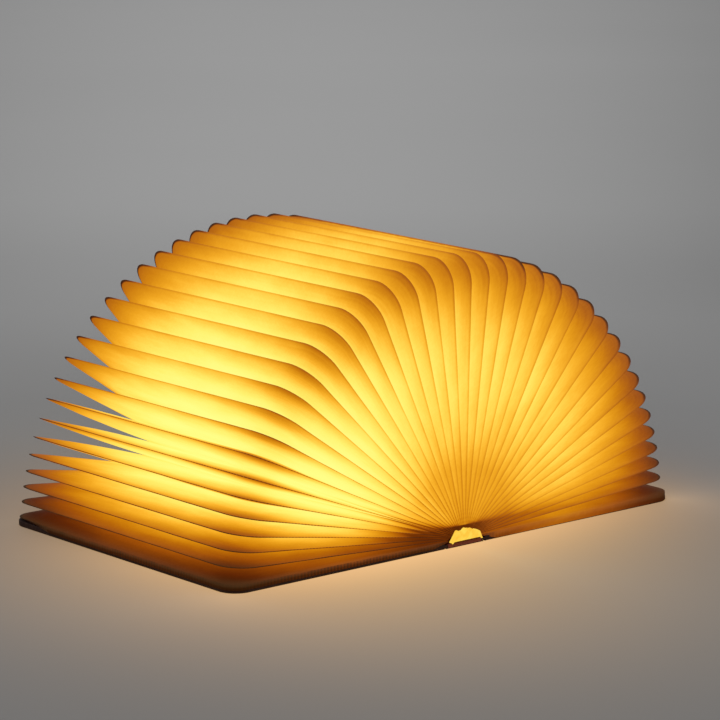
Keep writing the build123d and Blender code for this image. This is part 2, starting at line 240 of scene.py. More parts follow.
class Wires:
    """Short calls that add nodes to one tree and join them."""

    def __init__(self, tree):
        self.tree = tree

    def node(self, kind, links=(), **settings):
        """A node with its settings, its inputs joined or set."""
        made = self.tree.nodes.new(kind)
        for key, value in settings.items():
            setattr(made, key, value)
        for socket, value in dict(links).items():
            if hasattr(value, "is_output"):
                self.tree.links.new(value, made.inputs[socket])
            else:
                made.inputs[socket].default_value = value
        return made

    def math(self, operation, a, b=0.0, c=0.0, clamp=False):
        """The result of one Math node."""
        return self.node("ShaderNodeMath", {0: a, 1: b, 2: c}, operation=operation, use_clamp=clamp).outputs[0]

    def vector(self, operation, a, b=None, output=0):
        """A vector operation; its number, for a dot product or a length, is the output named Value."""
        links = {0: a} if b is None else {0: a, 1: b}
        return self.node("ShaderNodeVectorMath", links, operation=operation).outputs[output]

    def span(self, value, low, high, to_low=0.0, to_high=1.0, smooth=True):
        """A value carried smoothly from one range to another, and held at its ends."""
        links = {"Value": value, "From Min": low, "From Max": high, "To Min": to_low, "To Max": to_high}
        kind = "SMOOTHSTEP" if smooth else "LINEAR"
        return self.node("ShaderNodeMapRange", links, interpolation_type=kind).outputs["Result"]

    def mix(self, share, a, b, blend="MIX"):
        """Two colours mixed."""
        made = self.node("ShaderNodeMix", data_type="RGBA", blend_type=blend, clamp_factor=True)
        for socket, value in ((made.inputs[0], share), (made.inputs[6], a), (made.inputs[7], b)):
            if hasattr(value, "is_output"):
                self.tree.links.new(value, socket)
            else:
                socket.default_value = value
        return made.outputs[2]

    def object_place(self, scale=(1, 1, 1)):
        """Object coordinates, scaled."""
        place = self.node("ShaderNodeTexCoord").outputs["Object"]
        return self.node("ShaderNodeMapping", {"Vector": place, "Scale": scale}).outputs["Vector"]

    def noise(self, scale, detail=2.0, roughness=0.5, stretch=(1, 1, 1)):
        """Noise on Object coordinates."""
        links = {"Vector": self.object_place(stretch), "Scale": scale, "Detail": detail, "Roughness": roughness}
        return self.node("ShaderNodeTexNoise", links).outputs["Fac"]

    def ramp(self, value, stops):
        """A colour ramp through (place, colour) stops."""
        made = self.node("ShaderNodeValToRGB", {"Fac": value})
        elements = made.color_ramp.elements
        for place, colour in stops[1:-1]:
            elements.new(place).color = (*colour, 1)
        elements[0].position, elements[0].color = stops[0][0], (*stops[0][1], 1)
        elements[-1].position, elements[-1].color = stops[-1][0], (*stops[-1][1], 1)
        return made.outputs["Color"]


def new_material(name):
    """A material with one Principled shader; returns the material, its wires and the shader."""
    material = bpy.data.materials.new(name)
    material.use_nodes = True
    wires = Wires(material.node_tree)
    shader = material.node_tree.nodes["Principled BSDF"]
    return material, wires, shader


def four(colour):
    """A colour with full opacity."""
    return (*colour, 1.0)


# ---------------------------------------------------------------- shared effects
# Where the light of the spine's bar is fullest on the sheet, and how wide its field is, in metres:
# out from the bar, along the spine, and (as a share) from the ridge in to the valley.
LIGHT_HEIGHT = 0.012
OUT_FULL, OUT_WIDTH, OUT_LEAST = 0.0825, 0.0586, 0.035
SPINE_FULL, SPINE_WIDTH = -0.00866, 0.0806
DEPTH_FULL, DEPTH_WIDTH = 0.388, 0.7307
# Exponent at the fullest place, its loss towards the back cover, and on the pages that lie lowest.
FULL_EXPONENT, BACK_LOSS = 1.805, 2.63
FRONT_LOW_LOSS, BACK_LOW_LOSS, LOW_SINE, LEAST_SINE = 1.88, 0.995, 0.10, -0.03
WHITEST = 0.965
# Corner of a page at the tail, by its place along the ridge line, in metres.
CORNER_PLACE, CORNER_WIDTH = 0.159, 0.016
# Colour of the lit sheet by its brightness.
SHEET_RAMP = (
    (0.000, (0.008, 0.001, 0.000)), (0.045, (0.100, 0.016, 0.001)), (0.120, (0.305, 0.068, 0.002)),
    (0.190, (0.430, 0.120, 0.002)), (0.280, (0.590, 0.205, 0.003)), (0.365, (0.710, 0.285, 0.007)),
    (0.450, (0.825, 0.362, 0.013)), (0.530, (0.920, 0.445, 0.025)), (0.610, (0.980, 0.548, 0.047)),
    (0.710, (0.990, 0.680, 0.085)), (0.840, (0.995, 0.850, 0.155)), (0.950, (1.000, 0.960, 0.250)),
)


def fibre_group():
    """Long random fibres of a non-woven sheet or a paper: a mask and a height."""
    group, entry, leave = new_group(
        "Fibres",
        [("Scale", "NodeSocketFloat", 400.0), ("Stretch", "NodeSocketFloat", 4.0)],
        [("Mask", "NodeSocketFloat"), ("Height", "NodeSocketFloat")],
    )
    wires = Wires(group)
    place = wires.node("ShaderNodeTexCoord").outputs["Object"]
    masks = []
    for turn in (0.35, -0.6):
        turned = wires.node("ShaderNodeMapping", {"Vector": place, "Rotation": (turn, turn * 0.7, turn)})
        stretch = wires.node("ShaderNodeCombineXYZ", {0: 1.0, 1: entry.outputs["Stretch"], 2: 1.0}).outputs[0]
        drawn = wires.node("ShaderNodeVectorMath", {0: turned.outputs[0], 1: stretch}, operation="MULTIPLY")
        texture = wires.node(
            "ShaderNodeTexNoise", {"Vector": drawn.outputs[0], "Scale": entry.outputs["Scale"], "Detail": 3.0}
        )
        masks.append(texture.outputs["Fac"])
    both = wires.math("MULTIPLY", wires.math("ADD", masks[0], masks[1]), 0.5)
    group.links.new(wires.span(both, 0.35, 0.65), leave.inputs["Mask"])
    group.links.new(both, leave.inputs["Height"])
    return group


def weave_group():
    """Fine plain weave of book cloth: a mask of the threads and a height."""
    group, entry, leave = new_group(
        "Book Cloth Weave",
        [("Threads", "NodeSocketFloat", 4200.0)],
        [("Mask", "NodeSocketFloat"), ("Height", "NodeSocketFloat")],
    )
    wires = Wires(group)
    place = wires.node("ShaderNodeTexCoord").outputs["Object"]
    axes = wires.node("ShaderNodeSeparateXYZ", {0: place}).outputs
    across = wires.math("SINE", wires.math("MULTIPLY", axes["X"], entry.outputs["Threads"]))
    along = wires.math("SINE", wires.math("MULTIPLY", axes["Y"], entry.outputs["Threads"]))
    height = wires.math("MULTIPLY_ADD", wires.math("MULTIPLY", across, along), 0.5, 0.5)
    slubs = wires.noise(260.0, 3.0, 0.6, (1, 5, 1))
    group.links.new(wires.math("MULTIPLY", height, slubs), leave.inputs["Height"])
    group.links.new(wires.span(slubs, 0.3, 0.7), leave.inputs["Mask"])
    return group


def blotch_group():
    """Slow colour variation, as of handling and dust."""
    group, entry, leave = new_group(
        "Handling",
        [("Scale", "NodeSocketFloat", 30.0), ("Amount", "NodeSocketFloat", 0.5)],
        [("Mask", "NodeSocketFloat")],
    )
    wires = Wires(group)
    place = wires.node("ShaderNodeTexCoord").outputs["Object"]
    texture = wires.node(
        "ShaderNodeTexNoise", {"Vector": place, "Scale": entry.outputs["Scale"], "Detail": 5.0, "Roughness": 0.6}
    )
    mask = wires.span(texture.outputs["Fac"], 0.3, 0.7)
    group.links.new(wires.math("MULTIPLY", mask, entry.outputs["Amount"]), leave.inputs["Mask"])
    return group


def glow_group():
    """Light that comes through the sheet from the bar in the spine, as the sheet's brightness from 0 to 1."""
    group, entry, leave = new_group(
        "Light From Spine",
        [("Depth", "NodeSocketFloat", 0.5), ("Exposure", "NodeSocketFloat", 0.0)],
        [("Level", "NodeSocketFloat")],
    )
    wires = Wires(group)
    place = wires.node("ShaderNodeTexCoord").outputs["Object"]
    axes = wires.node("ShaderNodeSeparateXYZ", {0: place}).outputs
    height = wires.math("SUBTRACT", axes["Z"], LIGHT_HEIGHT)
    out = wires.math("SQRT", wires.math("ADD", wires.math("POWER", axes["X"], 2.0), wires.math("POWER", height, 2.0)))
    out = wires.math("MAXIMUM", out, 0.001)
    exponent = wires.math("ADD", entry.outputs["Exposure"], FULL_EXPONENT)
    far_out = wires.math("MAXIMUM", out, OUT_LEAST)
    fields = ((far_out, OUT_FULL, OUT_WIDTH), (axes["Y"], SPINE_FULL, SPINE_WIDTH))
    for value, full, width in (*fields, (entry.outputs["Depth"], DEPTH_FULL, DEPTH_WIDTH)):
        off = wires.math("DIVIDE", wires.math("SUBTRACT", value, full), width)
        exponent = wires.math("SUBTRACT", exponent, wires.math("MULTIPLY", off, off))
    exponent = wires.math("SUBTRACT", exponent, wires.math("MULTIPLY", axes["X"], BACK_LOSS))
    # Pages that lie low get the least of the bar's upward light.
    sine = wires.math("MAXIMUM", wires.math("DIVIDE", height, out), LEAST_SINE)
    low = wires.math("EXPONENT", wires.math("DIVIDE", sine, -LOW_SINE))
    loss = wires.span(axes["X"], -0.03, 0.03, FRONT_LOW_LOSS, BACK_LOW_LOSS)
    exponent = wires.math("SUBTRACT", exponent, wires.math("MULTIPLY", low, loss))
    # The brightness of the sheet levels off towards white, as in a picture.
    passed = wires.math("EXPONENT", wires.math("MULTIPLY", wires.math("EXPONENT", exponent), -1.0))
    level = wires.math("MULTIPLY", wires.math("SUBTRACT", 1.0, passed), WHITEST, clamp=True)
    group.links.new(level, leave.inputs["Level"])
    return group


def wrinkle_group():
    """Soft folds and fine pressed streaks of the sheet, drawn out along the ridge; other on every page."""
    group, entry, leave = new_group(
        "Sheet Wrinkles",
        [("Run", "NodeSocketFloat", 0.0), ("Depth", "NodeSocketFloat", 0.5)],
        [("Folds", "NodeSocketFloat"), ("Streaks", "NodeSocketFloat")],
    )
    wires = Wires(group)
    place = wires.node("ShaderNodeTexCoord").outputs["Object"]
    axes = wires.node("ShaderNodeSeparateXYZ", {0: place}).outputs
    page = wires.math("MULTIPLY", wires.math("ARCTAN2", axes["Z"], axes["X"]), 9.0)
    for label, run_scale, depth_scale, detail in (("Folds", 26.0, 3.2, 2.0), ("Streaks", 18.0, 34.0, 3.0)):
        run = wires.math("MULTIPLY", entry.outputs["Run"], run_scale)
        depth = wires.math("MULTIPLY", entry.outputs["Depth"], depth_scale)
        where = wires.node("ShaderNodeCombineXYZ", {0: run, 1: depth, 2: page}).outputs[0]
        texture = wires.node("ShaderNodeTexNoise", {"Vector": where, "Scale": 1.0, "Detail": detail})
        group.links.new(wires.math("SUBTRACT", texture.outputs["Fac"], 0.5), leave.inputs[label])
    return group


# ---------------------------------------------------------------- materials
# The lit sheet: scale of its fibres, the share of its soft folds, and the painted shade round the corner of the C.
FIBRE_SCALE, FOLD_SHARE, CORNER_SHADE = 260.0, 0.65, 0.30
# The pressed ridge: what it takes away, partly the pressed sheet and partly a painted shadow line, the painted shade it
# takes more where a page hangs low, and its slits in radians a metre.
CREASE_AND_SHADOW_LOSS, HANGING_SHADE, DASHES = 0.32, 2.0, 2600.0
# The unlit rims: what they lose, and where they begin and end at the head, along the ridge and across the fan.
RIM_LOSS, HEAD_RIM, FORE_RIM, BACK_PAGES = 3.0, (0.080, 0.099), (0.150, 0.168), (0.02, 0.06)


def sheet_material(groups, colour):
    """Non-woven sheet lit from inside: its glow, faint fibres and wrinkles, painted shade round the corner, and the
    pressed ridge with a painted shadow line.
    """
    material, wires, shader = new_material("Lit Sheet")
    uv = wires.node("ShaderNodeUVMap", uv_map="Pleat").outputs["UV"]
    run, depth = wires.node("ShaderNodeSeparateXYZ", {0: uv}).outputs[:2]
    place = wires.node("ShaderNodeTexCoord").outputs["Object"]
    axes = wires.node("ShaderNodeSeparateXYZ", {0: place}).outputs
    fibres = wires.node("ShaderNodeGroup", node_tree=groups["fibres"])
    fibres.inputs["Scale"].default_value = FIBRE_SCALE
    wrinkles = wires.node("ShaderNodeGroup", {"Run": run, "Depth": depth}, node_tree=groups["wrinkles"]).outputs
    exposure = wires.math("MULTIPLY", wires.math("SUBTRACT", fibres.outputs["Mask"], 0.5), 0.08)
    exposure = wires.math("MULTIPLY_ADD", wrinkles["Folds"], FOLD_SHARE, exposure)
    # Painted shade: the sheet is darkened round the corner of the C, with streaks along the ridge.
    off_corner = wires.math("DIVIDE", wires.math("SUBTRACT", run, CORNER_PLACE), CORNER_WIDTH)
    corner = wires.math("EXPONENT", wires.math("MULTIPLY", wires.math("MULTIPLY", off_corner, off_corner), -1.0))
    corner = wires.math("MULTIPLY", corner, wires.span(depth, 0.0, 0.45, 1.0, 0.0))
    exposure = wires.math("MULTIPLY_ADD", corner, -CORNER_SHADE, exposure)
    streak_share = wires.math("MULTIPLY_ADD", corner, 0.35, 0.16)
    exposure = wires.math("MULTIPLY_ADD", wrinkles["Streaks"], streak_share, exposure)
    # The pressed ridge lets less through, and a painted shadow line darkens it more; on the front pages that hang
    # lowest it is painted dark as shade, and slit in dashes.
    wander = wires.math("MULTIPLY_ADD", wires.math("SUBTRACT", wires.noise(140.0, 1.0), 0.5), 0.012, depth)
    crease = wires.span(wander, 0.006, 0.026, 1.0, 0.0)
    rise = wires.math("MULTIPLY_ADD", axes["X"], 0.55, axes["Z"])
    hangs = wires.span(rise, -0.05, 0.035, 1.0, 0.0)
    slit = wires.span(wires.math("SINE", wires.math("MULTIPLY", run, DASHES)), -0.6, 0.6, 0.5, 1.0)
    loss = wires.math("MULTIPLY_ADD", wires.math("MULTIPLY", hangs, slit), HANGING_SHADE, CREASE_AND_SHADOW_LOSS)
    # The rims at the head and on the back pages' fore-edges are unlit.
    head = wires.span(axes["Y"], *HEAD_RIM)
    fore = wires.math("MULTIPLY", wires.span(run, *FORE_RIM), wires.span(axes["X"], *BACK_PAGES))
    loss = wires.math("MULTIPLY_ADD", wires.math("MAXIMUM", head, fore), RIM_LOSS, loss)
    exposure = wires.math("SUBTRACT", exposure, wires.math("MULTIPLY", crease, loss))
    glow = wires.node("ShaderNodeGroup", {"Depth": depth, "Exposure": exposure}, node_tree=groups["glow"])
    wires.tree.links.new(wires.ramp(glow.outputs["Level"], SHEET_RAMP), shader.inputs["Emission Color"])
    finish_sheet(wires, shader, fibres, colour)
    return material


def hood_material(groups, colour):
    """The same sheet at the ends of the spine, close to the light: paler, with a few darker folds."""
    material, wires, shader = new_material("Hood Sheet")
    fibres = wires.node("ShaderNodeGroup", node_tree=groups["fibres"])
    fibres.inputs["Scale"].default_value = FIBRE_SCALE
    level = wires.math("MULTIPLY_ADD", wires.math("SUBTRACT", fibres.outputs["Mask"], 0.5), 0.06, 0.66)
    level = wires.math("MULTIPLY_ADD", wires.math("SUBTRACT", wires.noise(200.0, 2.0), 0.5), 0.30, level)
    wires.tree.links.new(wires.ramp(level, SHEET_RAMP), shader.inputs["Emission Color"])
    finish_sheet(wires, shader, fibres, colour)
    return material


def finish_sheet(wires, shader, fibres, colour):
    """What every piece of the sheet has in common."""
    shader.inputs["Emission Strength"].default_value = 1.0
    tint = wires.mix(fibres.outputs["Mask"], four([c * 0.92 for c in colour]), four(colour))
    wires.tree.links.new(tint, shader.inputs["Base Color"])
    shader.inputs["Roughness"].default_value = 0.8
    shader.inputs["Specular IOR Level"].default_value = 0.08
    bump = wires.node("ShaderNodeBump", {"Height": fibres.outputs["Height"], "Strength": 0.25, "Distance": 0.0002})
    wires.tree.links.new(bump.outputs["Normal"], shader.inputs["Normal"])


def cloth_material(groups, colour):
    """Dark book cloth with a fine weave, greyed along its worn high places."""
    material, wires, shader = new_material("Book Cloth")
    weave = wires.node("ShaderNodeGroup", node_tree=groups["weave"])
    blotch = wires.node("ShaderNodeGroup", node_tree=groups["blotch"])
    pale = [c * 1.8 + 0.002 for c in colour]
    tint = wires.mix(weave.outputs["Mask"], four(colour), four(pale))
    tint = wires.mix(blotch.outputs["Mask"], tint, four([c * 0.6 for c in colour]))
    wires.tree.links.new(tint, shader.inputs["Base Color"])
    wires.tree.links.new(wires.span(blotch.outputs["Mask"], 0, 1, 0.78, 0.62), shader.inputs["Roughness"])
    bump = wires.node("ShaderNodeBump", {"Height": weave.outputs["Height"], "Strength": 0.6, "Distance": 0.0003})
    wires.tree.links.new(bump.outputs["Normal"], shader.inputs["Normal"])
    shader.inputs["Specular IOR Level"].default_value = 0.15
    return material


def paper_material(name, groups, colour, fibre_scale=500.0, roughness=0.8):
    """Paper or board with fibres and slow blotches."""
    material, wires, shader = new_material(name)
    fibres = wires.node("ShaderNodeGroup", node_tree=groups["fibres"])
    fibres.inputs["Scale"].default_value = fibre_scale
    blotch = wires.node("ShaderNodeGroup", node_tree=groups["blotch"])
    tint = wires.mix(fibres.outputs["Mask"], four([c * 0.8 for c in colour]), four([c * 1.15 for c in colour]))
    tint = wires.mix(blotch.outputs["Mask"], tint, four([c * 0.75 for c in colour]))
    wires.tree.links.new(tint, shader.inputs["Base Color"])
    shader.inputs["Roughness"].default_value = roughness
    bump = wires.node("ShaderNodeBump", {"Height": fibres.outputs["Height"], "Strength": 0.3, "Distance": 0.0002})
    wires.tree.links.new(bump.outputs["Normal"], shader.inputs["Normal"])
    return material


def metal_material(name, groups, colour, roughness, stretch=(60.0, 1.0, 60.0)):
    """Drawn or plated metal with fine lines along its length."""
    material, wires, shader = new_material(name)
    lines = wires.noise(90.0, 3.0, 0.6, stretch)
    blotch = wires.node("ShaderNodeGroup", node_tree=groups["blotch"])
    tint = wires.mix(lines, four([c * 0.88 for c in colour]), four(colour))
    tint = wires.mix(blotch.outputs["Mask"], tint, four([c * 0.8 for c in colour]))
    wires.tree.links.new(tint, shader.inputs["Base Color"])
    shader.inputs["Metallic"].default_value = 1.0
    wires.tree.links.new(wires.span(lines, 0.3, 0.7, roughness * 0.85, roughness * 1.2), shader.inputs["Roughness"])
    return material


def board_material(name, groups, colour, trace):
    """Circuit board with the faint pattern of its tracks under the solder mask."""
    material, wires, shader = new_material(name)
    cells = wires.node(
        "ShaderNodeTexBrick",
        {"Vector": wires.object_place(), "Scale": 160.0, "Mortar Size": 0.03, "Color1": four(colour),
         "Color2": four([c * 0.9 for c in colour]), "Mortar": four(trace)},
    )
    wires.tree.links.new(cells.outputs["Color"], shader.inputs["Base Color"])
    blotch = wires.node("ShaderNodeGroup", node_tree=groups["blotch"])
    wires.tree.links.new(wires.span(blotch.outputs["Mask"], 0, 1, 0.3, 0.45), shader.inputs["Roughness"])
    return material


def lit_plastic_material(name, groups, colour, glow, strength):
    """Opal plastic or phosphor that shines."""
    material, wires, shader = new_material(name)
    blotch = wires.node("ShaderNodeGroup", node_tree=groups["blotch"])
    tint = wires.mix(blotch.outputs["Mask"], four(colour), four([c * 0.9 for c in colour]))
    wires.tree.links.new(tint, shader.inputs["Base Color"])
    spots = wires.mix(wires.noise(60.0, 2.0), four([c * 0.85 for c in glow]), four(glow))
    wires.tree.links.new(spots, shader.inputs["Emission Color"])
    shader.inputs["Emission Strength"].default_value = strength
    shader.inputs["Roughness"].default_value = 0.4
    return material


def all_materials(colours):
    """Every finish, under the name of the record's slot it dresses."""
    groups = {
        "fibres": fibre_group(), "weave": weave_group(), "blotch": blotch_group(), "glow": glow_group(),
        "wrinkles": wrinkle_group(),
    }
    return {
        "shade_sheet": sheet_material(groups, colours.sheet),
        "hood_sheet": hood_material(groups, colours.sheet),
        "cover_cloth": cloth_material(groups, colours.cover_cloth),
        "endpaper": paper_material("Endpaper", groups, colours.lining),
        "liner": paper_material("Spine Lining", groups, colours.lining, 420.0),
        "grey_board": paper_material("Grey Board", groups, (0.21, 0.19, 0.17), 700.0, 0.9),
        "housing": metal_material("Anodised Channel", groups, (0.62, 0.62, 0.64), 0.36),
        "board_white": board_material("LED Board", groups, (0.80, 0.80, 0.77), (0.66, 0.66, 0.62)),
        "led": lit_plastic_material("LED Phosphor", groups, (0.9, 0.7, 0.2), (1.0, 0.82, 0.42), 2.0),
        "diffuser": lit_plastic_material("Opal Diffuser", groups, (0.9, 0.87, 0.8), (1.0, 0.84, 0.46), 1.2),
        "battery": metal_material("Pouch Foil", groups, (0.5, 0.51, 0.53), 0.45, (3, 3, 3)),
        "board_green": board_material("Control Board", groups, (0.012, 0.11, 0.045), (0.02, 0.17, 0.07)),
        "socket_metal": metal_material("Plated Socket", groups, (0.66, 0.66, 0.68), 0.28, (5, 30, 5)),
        "magnet": metal_material("Nickel", groups, (0.7, 0.69, 0.66), 0.22, (4, 4, 4)),
    }


FINISHES = {}

# Hoods of the spine: thickness of the sheet and steps of its grid.
HOOD_SHEET = 0.0003
HOOD_STEPS, HOOD_ROWS = 64, 16
# Flat width of the strip, the share of it that lies over the arch, the gap under the flap, and its crumpling.
HOOD_TURN = 0.25
HOOD_GAPE = 0.0013
HOOD_CRUMPLE = 0.0012
# The ruffle of its upper edge: waves over half the width, and its share of the rise and of the half width.
HOOD_RUFFLES, RUFFLE_RISE, RUFFLE_SWAY = 9.0, 0.14, 0.03
# Outline of a hood: shares of its half width (front to back) and of its rise.
HOOD_OUTLINE = ((-1.0, 0.12), (-0.62, 0.97), (-0.50, 0.90), (0.12, 1.03), (0.26, 0.93), (0.86, 0.66), (1.0, 0.10))


def hood_height(across):
    """Share of the hood's rise at a share of its half width."""
    for (here, low), (there, high) in zip(HOOD_OUTLINE, HOOD_OUTLINE[1:]):
        if across <= there:
            return low + (high - low) * (across - here) / (there - here)
    return HOOD_OUTLINE[-1][1]


# ---------------------------------------------------------------- mesh helpers
def mesh_object(name, mesh_bm, material):
    """Turns a bmesh into a smooth-shaded object at the origin."""
    mesh = bpy.data.meshes.new(name)
    mesh_bm.to_mesh(mesh)
    mesh_bm.free()
    for polygon in mesh.polygons:
        polygon.use_smooth = True
    mesh.materials.append(material)
    made = bpy.data.objects.new(name, mesh)
    bpy.context.scene.collection.objects.link(made)
    return made


def fold_line(steps, inset, tail_radius, head_radius):
    """Stations of a C-shaped fold line as (along, y), the same number for every inset."""
    far, half = PAGE_DEPTH - inset, PAGE_HALF - inset
    places = []
    for step in range(steps.leg):
        places.append((PAGE_FOOT + (far - tail_radius - PAGE_FOOT) * step / steps.leg, -half))
    for step in range(steps.corner):
        turn = math.radians(90) * step / steps.corner
        places.append((far - tail_radius * (1 - math.sin(turn)), -half + tail_radius * (1 - math.cos(turn))))
    low, high = -half + tail_radius, half - head_radius
    for step in range(steps.edge):
        places.append((far, low + (high - low) * step / steps.edge))
    for step in range(steps.corner):
        turn = math.radians(90) * step / steps.corner
        places.append((far - head_radius * (1 - math.cos(turn)), half - head_radius * (1 - math.sin(turn))))
    for step in range(steps.leg + 1):
        places.append((far - head_radius - (far - head_radius - PAGE_FOOT) * step / steps.leg, half))
    return [Vector(place) for place in places]


def pleat(index, sizes, steps, leaves):
    """The V-folded sheet of one page, or one of its leaves: a grid laid along the C from valley to ridge to valley."""
    page = PAGES[index]
    outermost = index in (0, len(PAGES) - 1)
    corners = (sizes.cover_corner,) * 2 if outermost else (sizes.tail_corner, sizes.head_corner)
    ridge = fold_line(steps, 0.0, *corners)
    valley = fold_line(steps, sizes.pleat_depth, sizes.valley_corner, sizes.valley_corner)
    runs = [0.0]
    for here, there in zip(ridge, ridge[1:]):
        runs.append(runs[-1] + (there - here).length)
    first, last = (-1 if FRONT in leaves else 0), (1 if BACK in leaves else 0)
    depths = [0.0, sizes.press / sizes.pleat_depth] + [step / steps.depth for step in range(1, steps.depth + 1)]
    leaf_rows = len(depths) - 1
    rows = leaf_rows * (last - first)
    bm = bmesh.new()
    bmesh.ops.create_grid(bm, x_segments=len(ridge) - 1, y_segments=rows, size=1.0)
    uv = bm.loops.layers.uv.new("Pleat")
    marks = {}
    for vertex in bm.verts:
        station = round((vertex.co.x + 1) / 2 * (len(ridge) - 1))
        share = first + (vertex.co.y + 1) / 2 * (last - first)
        row = round(abs(share) * leaf_rows)
        depth = depths[row]
        flat = ridge[station].lerp(valley[station], depth)
        wide = spread(index, share < 0, valley[station].x, sizes.valley_gap)
        fold = sizes.sheet * 0.8
        reach = fold + (wide - fold) * depth
        reach += sizes.bulge * wide * math.sin(math.pi * depth) * (0.4 + 0.6 * min(1, station / 6))
        ripple = noise.noise(Vector((flat.x * 38, flat.y * 30, page.number * 3.7 + (7 if share < 0 else 0))))
        ripple += 0.6 * noise.noise(Vector((flat.x * 110, flat.y * 26, page.number * 5.1)))
        still = math.sin(math.pi * min(1.0, depth * 1.6 + 0.08)) * min(1.0, flat.x / 0.05)
        reach += sizes.ripple * ripple * max(0.0, still)
        reach = min(reach, max(wide, spread(index, share < 0, flat.x, sizes.valley_gap) - 0.0001))
        lean = reach if share < 0 else -reach
        if outermost and row < 2:
            flat, lean = skirt(index, sizes, flat, (ridge[station] - valley[station]).normalized(), row, lean)
        vertex.co = page.point(flat.x, flat.y, lean)
        marks[vertex] = (runs[station], depth)
    for face in bm.faces:
        for loop in face.loops:
            loop[uv].uv = marks[loop.vert]
    bmesh.ops.recalc_face_normals(bm, faces=bm.faces)
    return bm


# Where the skirt starts beside the spine, and where the front one ends towards the head.
SKIRT_START, SKIRT_FADE = 0.003, 0.004
SKIRT_END, SKIRT_END_FADE = 0.085, 0.02


def skirt(index, sizes, flat, outward, row, lean):
    """Where the rim of an outermost pleat stands: out past the cover's edge, and hanging over it."""
    front = index == 0
    page = PAGES[index]
    hold = min(1.0, max(0.0, (flat.x - SKIRT_START) / SKIRT_FADE))
    if front:
        hold *= min(1.0, max(0.0, (SKIRT_END - flat.y) / SKIRT_END_FADE))
    flat = flat + outward * hold * (sizes.skirt_out + (sizes.press if row else 0.0))
    if row == 0:
        height = (page.root + page.along * flat.x).y
        foot = sizes.front_skirt_foot if front else sizes.back_skirt_foot
        lean = (1 if front else -1) * hold * (height - foot)
    return flat, lean


# ---------------------------------------------------------------- operators
class LAMP_OT_finishes(bpy.types.Operator):
    """Make the finishes and put them on the pieces that CAD already shapes."""

    bl_idname = "lamp.finishes"
    bl_label = "Finishes"

    def execute(self, context):
        """Assigns each node the finish of its slot."""
        FINISHES.update(all_materials(context.scene.lamp_colours))
        for entry in frame["record"]["subparts"]:
            node = bpy.data.objects[entry["node"]]
            finish = FINISHES[entry["material_slot"]]
            for slot in node.material_slots:
                slot.material = finish
            if not node.material_slots:
                node.data.materials.append(finish)
        return {"FINISHED"}


class LAMP_OT_pleats(bpy.types.Operator):
    """Build the lit pleats, each on its own hinge line."""

    bl_idname = "lamp.pleats"
    bl_label = "Pleats"

    def execute(self, context):
        """One object per page; the page between the two halves of the fan is split at its ridge."""
        sizes, steps = context.scene.lamp_pleats, context.scene.lamp_steps
        for index, page in enumerate(PAGES):
            turns = index + 1 < len(PAGES) and page.side != PAGES[index + 1].side
            if turns:
                halves = [self.leaf(index, sizes, steps, (side,)) for side in (FRONT, BACK)]
                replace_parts(halves[0], page.node)
            else:
                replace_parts(self.leaf(index, sizes, steps, (FRONT, BACK)), page.node)
        return {"FINISHED"}

    def leaf(self, index, sizes, steps, leaves):
        """Builds one sheet, thickens it, and hangs it on its page's body."""
        page = PAGES[index]
        name = f"pleat_sheet_{page.number:02d}" + (f"_{leaves[0]}" if len(leaves) == 1 else "")
        made = mesh_object(name, pleat(index, sizes, steps, leaves), FINISHES["shade_sheet"])
        wall = made.modifiers.new("Sheet", "SOLIDIFY")
        wall.thickness = sizes.sheet
        wall.offset = 0.0
        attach(made, page.body)
        far = PAGE_DEPTH - sizes.pleat_depth
        open_half = spread(index, index > 0, far, 0)
        tuple(page.point(0, 0, 0))
        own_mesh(made)
        return made


class LAMP_OT_hoods(bpy.types.Operator):
    """Build the pale hood at each end of the spine."""

    bl_idname = "lamp.hoods"
    bl_label = "Spine Hoods"

    def execute(self, context):
        """One piece for the tail and one for the head; together they stand for the CAD hoods."""
        made = [self.hood("tail", -1), self.hood("head", 1)]
        for hood in made:
            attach(hood, "spine")
            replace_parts(hood, "spine_hoods")
        return {"FINISHED"}

    def hood(self, name, side):
        """A strip of sheet bent over the end of the arch: ruffled upper edge, and a crumpled flap before the arch."""
        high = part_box("spine_hoods")[1]
        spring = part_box("spine_board")[1][2]
        half_width, rise = high[0] - HOOD_SHEET, high[2] - spring
        start, end = PAGE_HALF + 0.0001, high[1]
        bm = bmesh.new()
        bmesh.ops.create_grid(bm, x_segments=HOOD_STEPS, y_segments=HOOD_ROWS, size=1.0)
        for vertex in bm.verts:
            across = vertex.co.x
            down = (vertex.co.y + 1) / 2
            over = min(1.0, down / HOOD_TURN)
            hang = max(0.0, (down - HOOD_TURN) / (1 - HOOD_TURN))
            up = hood_height(across)
            ruffle = noise.noise(Vector((across * HOOD_RUFFLES, side, 0.3))) * (1 - hang)
            crumple = noise.noise(Vector((across * 2.1, hang * 2.3, side * 2.0)))
            top = spring + rise * up * (1.0 + RUFFLE_RISE * ruffle)
            foot = spring + HOOD_GAPE * min(1.0, 2.5 * up)
            x = half_width * (across * (1 - 0.04 * hang) + RUFFLE_SWAY * ruffle)
            y = start + (end - start) * over + HOOD_CRUMPLE * math.sin(math.pi * hang) * (0.5 + crumple)
            vertex.co = (x, side * y, max(spring, top + (foot - top) * hang))
        bmesh.ops.remove_doubles(bm, verts=bm.verts, dist=0.00001)
        bmesh.ops.recalc_face_normals(bm, faces=bm.faces)
        area = sum(face.calc_area() for face in bm.faces)
        hood = mesh_object(f"spine_hood_{name}", bm, FINISHES["hood_sheet"])
        wall = hood.modifiers.new("Sheet", "SOLIDIFY")
        wall.thickness = HOOD_SHEET
        wall.offset = 0.0
        return hood
